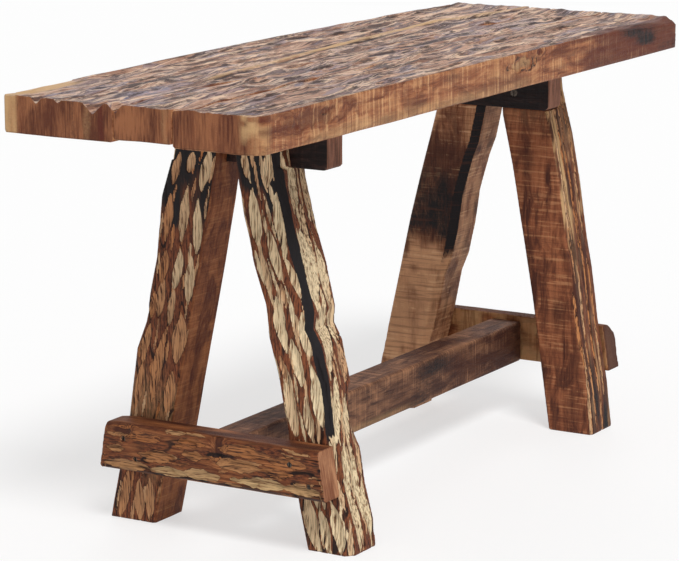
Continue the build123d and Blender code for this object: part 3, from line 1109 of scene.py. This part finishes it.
# ------------------------------------------------------------------------------ trestles
CARVED = TimberFinish(
    "carved_leg", (94, 44, 26), (142, 84, 50), (180, 114, 70), kerf=(190, 132, 84), kerf_pitch=0.4,
    kerf_strength=0.5, hide=(92, 46, 29), hide_light=(146, 84, 52))
SAWN = TimberFinish(
    "sawn_leg", (72, 36, 25), (124, 70, 45), (162, 100, 66), kerf=(200, 146, 102), kerf_pitch=0.34,
    kerf_strength=0.5)
PALE_SAWN = TimberFinish(
    "pale_sawn_leg", (96, 54, 36), (156, 102, 70), (200, 148, 108), sap=(218, 166, 124),
    kerf=(230, 188, 146), kerf_pitch=0.36, kerf_strength=0.6)
LOG_SIDE = TimberFinish(
    "log_side", (92, 46, 24), (136, 82, 48), (166, 106, 64), cut=(200, 166, 120), warm=(160, 98, 54),
    hide=(78, 38, 24), hide_light=(140, 80, 46), end_shade=(134, 80, 52), end_light=(190, 136, 98))
DARK_SAWN = TimberFinish(
    "dark_sawn", (18, 13, 14), (36, 24, 24), (62, 42, 38), kerf=(84, 62, 54), kerf_pitch=0.2,
    kerf_strength=0.4, end_shade=(104, 64, 46), end_light=(164, 112, 88))
STRETCHER = TimberFinish(
    "sawn_stretcher", (66, 40, 32), (114, 78, 58), (154, 110, 80), kerf=(182, 134, 100), kerf_pitch=0.42,
    kerf_strength=0.65)

HIDDEN_CARVING = Spread(58.0, 15.0, (42.0, 64.0), (10.0, 15.0), (1.2, 2.2), 0.05, (0.3, 1.0))
SLIVERS = Spread(44.0, 11.0, (16.0, 38.0), (1.8, 4.0), (0.4, 1.0), 0.1, (0.0, 0.6))
PALE_SLIVERS = Spread(40.0, 9.0, (24.0, 56.0), (3.0, 6.0), (0.6, 1.4), 0.1, (0.4, 1.0))
BARK_STREAKS = Spread(90.0, 12.0, (80.0, 170.0), (2.5, 5.0), (0.8, 2.2), 0.03, (0.0, 0.5))

# where random strokes lie on a leg: along it, then across it
WHOLE_SIDE = ((10.0, 400.0), (-22.0, 22.0))
HIDDEN_SIDE = ((20.0, 400.0), (-16.0, 16.0))


def strokes(*rows: Sequence[float]) -> tuple[Stroke, ...]:
    """Strokes from rows of their values."""
    return tuple(Stroke(*row) for row in rows)


def dress_batten(node: str, seed: int, burnt: float = 0.0, fineness: float = 2.0) -> None:
    """Make a dark batten under the top.

    Args:
        node: Name of the CAD node.
        seed: Seed of the batten's noise.
        burnt: How strongly its left side is burnt.
        fineness: Distance between vertices.
    """
    batten = Timber(node, Grain.CROSSWISE, fineness, seed)
    batten.stain(Stain.CHAR, batten.facing(Face.LEFT) * burnt)
    ends = batten.facing_any(Face.FRONT, Face.REAR)
    batten.stain(Stain.END, ends)
    batten.stain(Stain.SAWN, 1.0 - ends)
    batten.roughen((Face.LEFT, Face.RIGHT), 0.6, (20, 30, 14))
    batten.done(DARK_SAWN)


@dataclass
class LeftTrestle:
    """Left trestle: gouged legs, one with a burnt bevel, under a dark batten."""

    fineness: float = 1.2
    rear_strokes: tuple[Stroke, ...] = strokes(
        (365, 17, 32, 11, 0.3), (371, 1, 20, 10, 0.5), (365, -17, 44, 13, 0.8), (316, 17, 52, 11, 0.15),
        (319, -1, 60, 12, 0.6), (308, -18, 60, 12, 0.85, 0.1), (265, 15, 36, 12, 0.1),
        (232, 12, 44, 12, 0.2), (262, -2, 44, 12, 0.75), (223, -2, 42, 9, 0.4),
        (253, -18, 50, 13, 0.7, 0.1), (185, 19, 40, 11, 0.15), (161, 1, 76, 13, 0.12, -0.04),
        (192, -18, 54, 18, 0.18, 0.1), (141, 19, 52, 10, 0.15), (137, -18, 46, 14, 0.15),
        (222, 20, 30, 8, 0.1), (24, 15, 54, 13, 0.15), (22, -4, 46, 13, 0.2, 0.2),
        (25, -16, 50, 13, 0.2, 0.2))
    front_strokes: tuple[Stroke, ...] = strokes(
        (374, 14, 24, 9, 0.7), (372, -11, 36, 11, 0.9, -0.15), (322, 13, 58, 15, 0.95, -0.1),
        (321, -15, 68, 15, 1.0, -0.08), (288, 0, 52, 13, 0.9), (270, 15, 46, 10, 0.6),
        (267, -17, 40, 12, 0.8, 0.2), (222, 10, 56, 14, 0.9), (212, -16, 46, 14, 0.9),
        (186, 1, 52, 14, 0.95), (153, -15, 64, 16), (162, -22, 70, 5, 0.3), (139, 17, 58, 13, 0.7),
        (130, -1, 46, 12, 0.8), (30, 15, 54, 17, 0.8), (20, 1, 48, 12, 0.9), (25, -14, 54, 16, 0.95),
        (70, 4, 60, 13), (84, -14, 50, 12), (250, 1, 26, 6, 0.4), (178, 18, 32, 7, 0.3))
    long_strokes: tuple[Stroke, ...] = strokes(
        (361, -3, 56, 15, 0.9), (356, 17, 58, 12, 0.6, 0.1), (275, -8, 80, 26, 0.95, 0.03, 1.8),
        (267, 13, 64, 16, 0.9), (213, -3, 80, 19, 0.9, 0.2, 1.8), (182, 14, 44, 13, 0.35),
        (140, -10, 70, 16, 0.95, 0.22), (130, 6, 50, 13, 0.85, 0.15), (139, 20, 62, 11, 0.9, 0.2),
        (74, -9, 78, 12, 0.95, 0.1), (66, 6, 80, 12), (30, -6, 58, 13, 0.9), (34, 15, 62, 13),
        (88, 17, 40, 9, 0.5), (232, 17, 60, 9, 0.7), (316, 2, 50, 9, 0.7))
    bar_strokes: tuple[Stroke, ...] = strokes(
        (61, -4, 48, 11, 0.2), (18, 2, 30, 11, 0.2), (-32, -1, 54, 14, 0.3), (97, -18, 62, 12, 0.4),
        (111, -2, 28, 8, 0.3), (46, -18, 50, 12, 0.8), (9, -16, 48, 14, 0.75), (-60, -15, 66, 13, 1.0),
        (-108, -16, 50, 11, 0.7), (20, 15, 38, 9, 0.05, 0.0, 1.4), (-40, 14, 66, 13, 0.1, 0.0, 1.4),
        (-90, 9, 46, 12, 0.1, 0.0, 1.4), (78, 12, 40, 8, 0.05, 0.0, 1.2), (-75, -2, 44, 8, 0.1, 0.0, 1.2))
    bar_knots: tuple[Knot, ...] = (Knot(102.0, 17.0, 20.0, 12.0), Knot(-12.0, 14.0, 11.0, 22.0))
    front_arris: Trim = Trim((98, 112, 124, 147, 162, 175), (0, 5, 9, 5.5, 0.5, 0))
    bar_corner: Trim = Trim((-140, 140), (2.4, 2.4), 26.0)
    bevel: Span = (0.36, 0.56)  # lean to both sides where the burnt bevel starts, and is full

    def rear_leg(self) -> None:
        """Rear leg, burnt near the top between its strokes, sawn on its front side."""
        leg = Timber("leg_left_rear", Grain.UPRIGHT, self.fineness, 21)
        leg.carve(Face.LEFT, [*self.rear_strokes, *SLIVERS.strokes(5, *WHOLE_SIDE)], 0.8)
        leg.carve(Face.REAR, HIDDEN_CARVING.strokes(3, *HIDDEN_SIDE))
        leg.crack(Face.LEFT, (7, 7, 55), 1.0)
        outer, front = leg.facing_any(Face.LEFT, Face.REAR), leg.facing(Face.FRONT)
        ragged = leg.along + 50.0 * leg.swell(14, 14, 40)
        leg.stain(Stain.HIDE, outer)
        leg.stain(Stain.SAWN, leg.facing_any(Face.FRONT, Face.RIGHT))
        leg.stain(Stain.SAP, ease(230.0, 120.0, ragged) * ease(50.0, 90.0, ragged) * outer * 0.34)
        leg.stain(Stain.DEEP, front * ease(260.0, 40.0, ragged) * 0.25)
        leg.stain(Stain.CHAR, ease(275.0, 395.0, ragged) * outer, front * ease(350.0, 420.0, ragged) * 0.45)
        leg.roughen((Face.FRONT, Face.LEFT), 0.7, (18, 18, 30))
        leg.done(CARVED)

    def front_leg(self) -> None:
        """Front leg, gouged on both outer sides, with a burnt bevel between them."""
        leg = Timber("leg_left_front", Grain.UPRIGHT, self.fineness, 22)
        leg.carve(Face.LEFT, [*self.front_strokes, *PALE_SLIVERS.strokes(6, *WHOLE_SIDE)], 0.8)
        leg.carve(Face.FRONT, [*self.long_strokes, *PALE_SLIVERS.strokes(7, *WHOLE_SIDE)], 0.8)
        leg.stain(Stain.HIDE, leg.facing_any(Face.LEFT, Face.FRONT))
        burnt = ease(310.0, 390.0, leg.along + 30.0 * leg.swell(9, 9, 30))
        leg.stain(Stain.CHAR, burnt * np.maximum(leg.facing(Face.LEFT), 0.35 * leg.facing(Face.FRONT)))
        leg.crack(Face.LEFT, (7, 7, 55), 1.0)
        leg.crack(Face.FRONT, (7, 8, 60), 1.4)
        leg.trim(Face.FRONT, Face.RIGHT, self.front_arris)
        bevel = leg.leaning(*self.bevel) * ease(100.0, 125.0, leg.along)
        for stain in (Stain.CUT, Stain.CREASE):
            leg.stains[stain] *= 1.0 - bevel
        leg.stain(Stain.CHAR, bevel)
        leg.stain(Stain.SAWN, leg.facing_any(Face.REAR, Face.RIGHT))
        leg.roughen((Face.LEFT,), 0.7, (18, 18, 30))
        leg.done(CARVED)

    def crossbar(self) -> None:
        """Crossbar with the log's rough side outwards."""
        bar = Timber("crossbar_left", Grain.CROSSWISE, self.fineness, 23)
        bar.carve(Face.LEFT, [*self.bar_strokes, *SLIVERS.strokes(8, (-125, 125), (-20, 20))], 1.3)
        for knot in self.bar_knots:
            bar.knot(Face.LEFT, knot)
        left = bar.facing(Face.LEFT)
        bar.stain(Stain.HIDE, left * ease(-0.5, 0.3, bar.swell(12, 30, 10)))
        bar.crack(Face.LEFT, (8, 34, 6), 1.8)
        bar.stain(Stain.CHAR, ease(8.0, 2.0, bar.below(Face.BOTTOM)) * left * 0.6)
        bar.stain(Stain.END, bar.facing_any(Face.FRONT, Face.REAR))
        bar.stain(Stain.DEEP, bar.facing(Face.TOP) * (0.5 + 0.4 * bar.swell(14, 50, 10)))
        bar.trim(Face.TOP, Face.REAR, self.bar_corner)
        bar.roughen((Face.LEFT,), 1.2, (12, 22, 9))
        bar.roughen((Face.BOTTOM,), 0.4, (12, 22, 9))
        bar.done(LOG_SIDE)

    def build(self) -> None:
        """Make the timbers of this trestle."""
        self.rear_leg()
        self.front_leg()
        self.crossbar()
        dress_batten("batten_left", 24)


@dataclass
class RightTrestle:
    """Right trestle: sawn legs with bark and a burnt bevel, and a crossbar with a rounded log side."""

    fineness: float = 1.5
    bevel: Span = (0.14, 0.44)  # lean to both sides where the burnt bevel starts, and is full
    bar_inner: Trim = Trim((-140, 130), (0.3, 0.3), 12.0)
    bar_outer: Trim = Trim((-140, -118, -100, 130), (7.0, 4.0, -1.0, -1.0), 24.0)
    bar_under: float = 1.4  # the underside lies this much higher than the sawn size

    def rear_leg(self) -> None:
        """Rear leg: sawn, burnt half way up, pale and saw-marked below."""
        leg = Timber("leg_right_rear", Grain.UPRIGHT, self.fineness, 31)
        left, front, mottle = leg.facing(Face.LEFT), leg.facing(Face.FRONT), leg.swell(9, 12, 14)
        ragged = leg.along + 22.0 * leg.swell(16, 16, 30)
        burnt = ease(168.0, 214.0, ragged) * ease(330.0, 240.0, ragged)
        upper, lower = left * ease(172.0, 206.0, ragged), left * ease(206.0, 176.0, ragged)
        streak = left * ease(11.0, 4.0, leg.below(Face.REAR)) * ease(300.0, 350.0, ragged)
        bevel = leg.leaning(*self.bevel) * ease(150.0, 215.0, ragged)
        for face in (Face.RIGHT, Face.REAR):
            leg.carve(face, HIDDEN_CARVING.strokes(7 + face.axis, *HIDDEN_SIDE))
        leg.stain(Stain.SAWN, leg.facing_any(Face.LEFT, Face.FRONT))
        leg.stain(Stain.CHAR, left * (0.54 * burnt + 0.16 * mottle), bevel * 0.95)
        leg.stain(
            Stain.DEEP, upper * (0.24 + 0.35 * ease(350.0, 290.0, ragged)), upper * 0.3 * mottle,
            front * (0.1 + 0.45 * leg.swell(9, 9, 26)))
        leg.stain(
            Stain.SAP, lower * (0.68 + 0.36 * mottle), streak * (0.6 + 0.4 * leg.swell(5, 5, 30)),
            front * (0.3 + 0.3 * mottle))
        leg.roughen((Face.LEFT, Face.FRONT), 0.7, (20, 20, 30))
        leg.done(PALE_SAWN)

    def front_leg(self) -> None:
        """Front leg: sawn on its left side, streaked bark on its front."""
        leg = Timber("leg_right_front", Grain.UPRIGHT, self.fineness, 32)
        leg.carve(Face.FRONT, BARK_STREAKS.strokes(9, (10.0, 410.0), (-22.0, 22.0)), 0.8)
        leg.carve(Face.RIGHT, HIDDEN_CARVING.strokes(10, *HIDDEN_SIDE))
        leg.crack(Face.FRONT, (5, 6, 90), 0.8, 0.4)
        front, left, height = leg.facing(Face.FRONT), leg.facing(Face.LEFT), leg.along
        patches = leg.swell(16, 20, 34)
        strip = front * ease(24.0, 15.0, leg.below(Face.LEFT)) * ease(150.0, 260.0, height)
        strip *= ease(-0.5, 0.3, leg.swell(6, 8, 60))
        leg.stains[Stain.CUT] *= 1.0 - 0.8 * strip
        leg.stain(Stain.HIDE, front * 0.6)
        leg.stain(Stain.SAWN, leg.facing_any(Face.LEFT, Face.REAR))
        leg.stain(
            Stain.SAP, strip * ease(405.0, 385.0, height), front * ease(250.0, 340.0, height) * 0.3,
            front * ease(0.0, 0.6, leg.swell(4, 5, 60, shift=40.0)) * 0.45,
            left * ease(290.0, 380.0, height) * 0.3)
        leg.stain(
            Stain.DEEP, front * ease(0.0, 0.5, leg.swell(6, 8, 70)) * 0.6, left * (0.14 + 0.45 * patches))
        leg.stain(
            Stain.CHAR, front * ease(190.0, 10.0, height) * (0.5 + 0.3 * leg.swell(6, 8, 50)),
            left * ease(200.0, 330.0, height) * 0.2 * patches)
        leg.roughen((Face.LEFT, Face.FRONT), 0.6, (20, 20, 30))
        leg.done(SAWN)

    def crossbar(self) -> None:
        """Crossbar with a dark rounded top."""
        bar = Timber("crossbar_right", Grain.CROSSWISE, self.fineness, 33)
        ends = bar.facing_any(Face.FRONT, Face.REAR)
        bar.stain(Stain.END, ends)
        bar.stain(Stain.DEEP, ends * (0.8 + 0.3 * bar.swell(20, 20, 30)))
        round_side = np.maximum(0.6 * bar.facing(Face.TOP), bar.facing(Face.RIGHT, 0.2, 0.6)) * (1.0 - ends)
        bar.stain(Stain.HIDE, round_side)
        bar.stain(Stain.CHAR, round_side * round_side * 0.5)
        bar.crack(Face.RIGHT, (8, 20, 6), 1.4)
        bar.stain(Stain.SAWN, bar.facing(Face.LEFT))
        # painted light: lightens the inner face, which lies in shade, with the sapwood tone
        bar.stain(Stain.SAP, bar.facing(Face.LEFT) * (0.36 + 0.3 * bar.swell(12, 16, 9)))
        bar.trim(Face.TOP, Face.LEFT, self.bar_inner)
        bar.trim(Face.TOP, Face.RIGHT, self.bar_outer)
        bar.press(Face.BOTTOM, self.bar_under)
        bar.roughen((Face.RIGHT,), 1.2, (14, 26, 12))
        bar.roughen((Face.TOP,), 0.4, (14, 26, 12))
        bar.done(LOG_SIDE)

    def build(self) -> None:
        """Make the timbers of this trestle."""
        self.rear_leg()
        self.front_leg()
        self.crossbar()
        dress_batten("batten_right", 34, 0.5)


@dataclass
class Stretcher:
    """Rough-sawn stretcher between the crossbars."""

    fineness: float = 1.6
    proud: float = 0.6  # the top stands this much over the sawn size

    def build(self) -> None:
        """Make the stretcher, dark towards its right end."""
        rail = Timber("stretcher", Grain.LENGTHWISE, self.fineness, 41)
        stained = rail.swell(50, 24, 16)
        front, x = rail.facing(Face.FRONT), rail.along
        rail.stain(
            Stain.DEEP, front * (0.45 * ease(-60.0, 120.0, x) + 0.35 * stained),
            rail.facing(Face.TOP) * (0.4 + 0.35 * stained))
        rail.stain(Stain.CHAR, front * bell(90.0, 70.0, x) * (0.45 + 0.3 * stained))
        rail.stain(Stain.SAP, front * ease(14.0, 4.0, rail.below(Face.BOTTOM)) * ease(120.0, 0.0, x) * 0.4)
        rail.stain(Stain.SAWN, rail.facing_any(Face.FRONT, Face.REAR, Face.TOP, Face.BOTTOM) * 0.9)
        rail.roughen((Face.FRONT,), 0.7, (40, 20, 16))
        rail.press(Face.TOP, -self.proud)
        rail.done(STRETCHER)


@dataclass
class Fixings:
    """Dowels, pegs and screws, which keep their CAD shape."""

    wooden: tuple[str, ...] = (
        "seam_dowels_front", "seam_dowels_rear", "stretcher_peg_left", "stretcher_peg_right")

    def build(self) -> None:
        """Give each fixing its material."""
        peg, screw = HARDWOOD.material(), STEEL.material()
        for name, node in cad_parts.items():
            if name in self.wooden:
                chosen = peg
            elif "screws" in name:
                chosen = screw
            else:
                continue
            node.data.materials.clear()
            node.data.materials.append(chosen)
            LOG.info("%s: %s", name, chosen.name)


# ------------------------------------------------------------------------------ the studio
@dataclass(frozen=True)
class Lamp:
    """A broad light.

    Attributes:
        name: Name of the light.
        strength: Its strength.
        direction: Where it shines to.
        angle: How broad it is, in degrees.
    """

    name: str
    strength: float
    direction: tuple[float, float, float]
    angle: float

    def hang(self) -> None:
        """Put the light into the scene."""
        data = bpy.data.lights.new(self.name, "SUN")
        data.energy = self.strength
        data.angle = math.radians(self.angle)
        light = new_object(self.name, data)
        light.rotation_euler = Vector(self.direction).to_track_quat("-Z", "Y").to_euler()


@dataclass
class Studio:
    """Pale floor, soft light and the camera."""

    camera_place: tuple[float, float, float] = (-2.6226, -1.5053, 0.8376)
    turn: float = 59.5  # degrees from +Y towards +X
    tilt: float = 11.8  # degrees below the horizon
    lens: float = 154.7
    floor_size: float = 30.0
    floor_gap: float = 0.0003
    floor_colour: Colour = (250, 250, 250)
    floor_roughness: float = 0.9
    floor_glow: float = 0.6  # share of even glow in what the camera sees of the floor
    clip: Span = (0.1, 100.0)  # nearest and farthest distance that the camera sees
    sky: float = 0.4
    lamps: tuple[Lamp, ...] = (
        Lamp("key", 2.1, (0.8, 0.9, -1.6), 20.0), Lamp("rear", 0.4, (-0.9, -0.5, -0.7), 25.0))

    def camera(self) -> None:
        """Set the camera."""
        data = bpy.data.cameras.new("camera")
        data.lens = self.lens
        data.clip_start, data.clip_end = self.clip
        camera = new_object("camera", data)
        camera.location = self.camera_place
        camera.rotation_euler = (math.radians(90.0 - self.tilt), 0.0, -math.radians(self.turn))
        bpy.context.scene.camera = camera

    def floor(self) -> None:
        """Lay a floor that stays near white to the camera and keeps the bench's shadow."""
        half = self.floor_size / 2
        mesh = bpy.data.meshes.new("floor")
        square = ((-half, -half), (half, -half), (half, half), (-half, half))
        mesh.from_pydata([(x, y, -self.floor_gap) for x, y in square], [], [(0, 1, 2, 3)])
        floor = new_object("floor", mesh)
        recipe = Recipe("floor")
        recipe.feed(recipe.shader, {
            "Base Color": pigment(self.floor_colour), "Roughness": self.floor_roughness,
            "Specular IOR Level": 0.0})
        path, glow = recipe.node("LightPath", {}), recipe.node("Emission", {})
        seen = recipe.plus(*(path.outputs[f"Is {ray} Ray"] for ray in ("Camera", "Glossy", "Transmission")))
        blend = recipe.node("MixShader", {
            0: recipe.times(seen, self.floor_glow), 1: recipe.shader.outputs[0], 2: glow.outputs[0]})
        recipe.feed(recipe.tree.nodes["Material Output"], {"Surface": blend.outputs[0]})
        mesh.materials.append(recipe.material)

    def lights(self) -> None:
        """Soft light from all round, a broad key light and a weaker light behind."""
        scene = bpy.context.scene
        scene.world = bpy.data.worlds.new("studio")
        scene.world.use_nodes = True
        background = scene.world.node_tree.nodes["Background"]
        background.inputs["Color"].default_value = (1.0, 1.0, 1.0, 1.0)
        background.inputs["Strength"].default_value = self.sky
        for lamp in self.lamps:
            lamp.hang()
        scene.view_settings.view_transform = "Standard"

    def build(self) -> None:
        """Set up the studio."""
        self.floor()
        self.lights()
        self.camera()


def main() -> None:
    """Build the bench piece by piece, then the studio round it."""
    logging.basicConfig(level=logging.INFO, format="%(message)s")
    for part in (HewnTop(), LeftTrestle(), RightTrestle(), Stretcher(), Fixings(), Studio()):
        part.build()
        LOG.info("%s built", type(part).__name__)


if __name__ == "__main__":
    main()
